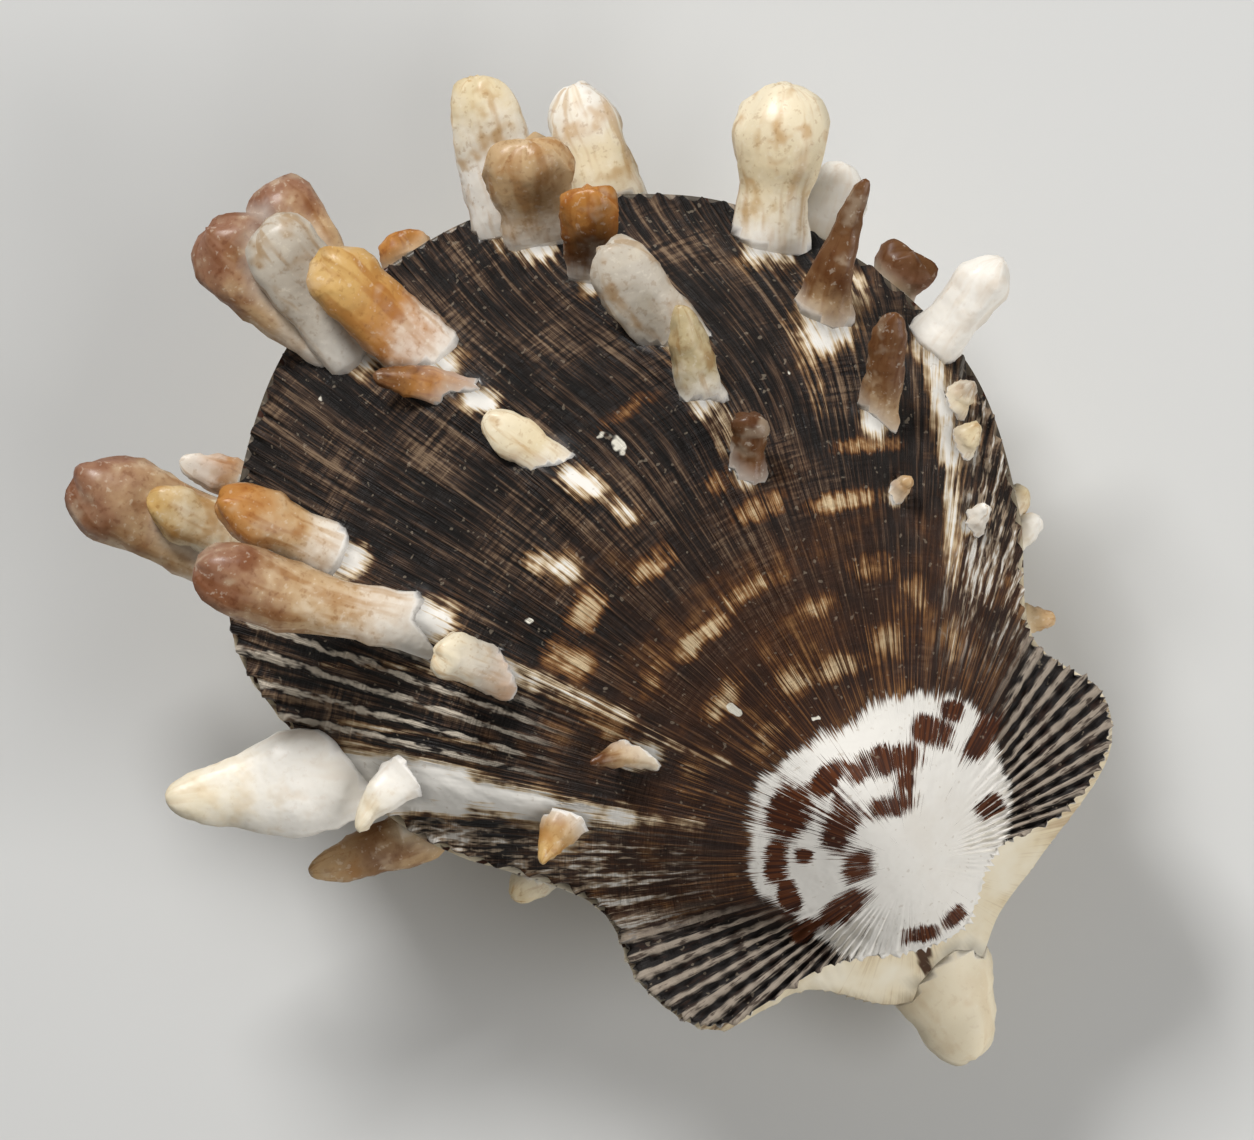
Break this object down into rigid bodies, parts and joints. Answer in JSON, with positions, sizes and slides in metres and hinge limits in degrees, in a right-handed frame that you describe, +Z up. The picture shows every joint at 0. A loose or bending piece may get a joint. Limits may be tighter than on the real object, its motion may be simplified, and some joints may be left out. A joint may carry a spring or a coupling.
{
  "type": "spiny oyster shell",
  "caption": "Closed bivalve seashell: a dark ribbed upper valve with long blunt spines and striped ears on a deeper pale lower valve, resting on its flat attachment scar.",
  "frame": {"origin": "centre of the flat attachment scar under the lower valve, on the surface that the shell rests on", "axes": "+Z up through the upper valve, +Y from the hinge towards the far margin, +X along the hinge line"},
  "size_m": [0.0989, 0.1123, 0.0444],
  "materials": {
    "upper_valve": "satin brown-black shell with fine radial threads, a white umbo and white, amber and brown spines",
    "lower_valve": "satin cream-white shell with brown-spotted ribs near the margin"
  },
  "bodies": {
    "root": {"upper_valve": "upper_valve", "lower_valve": "lower_valve"}
  },
  "joints": []
}
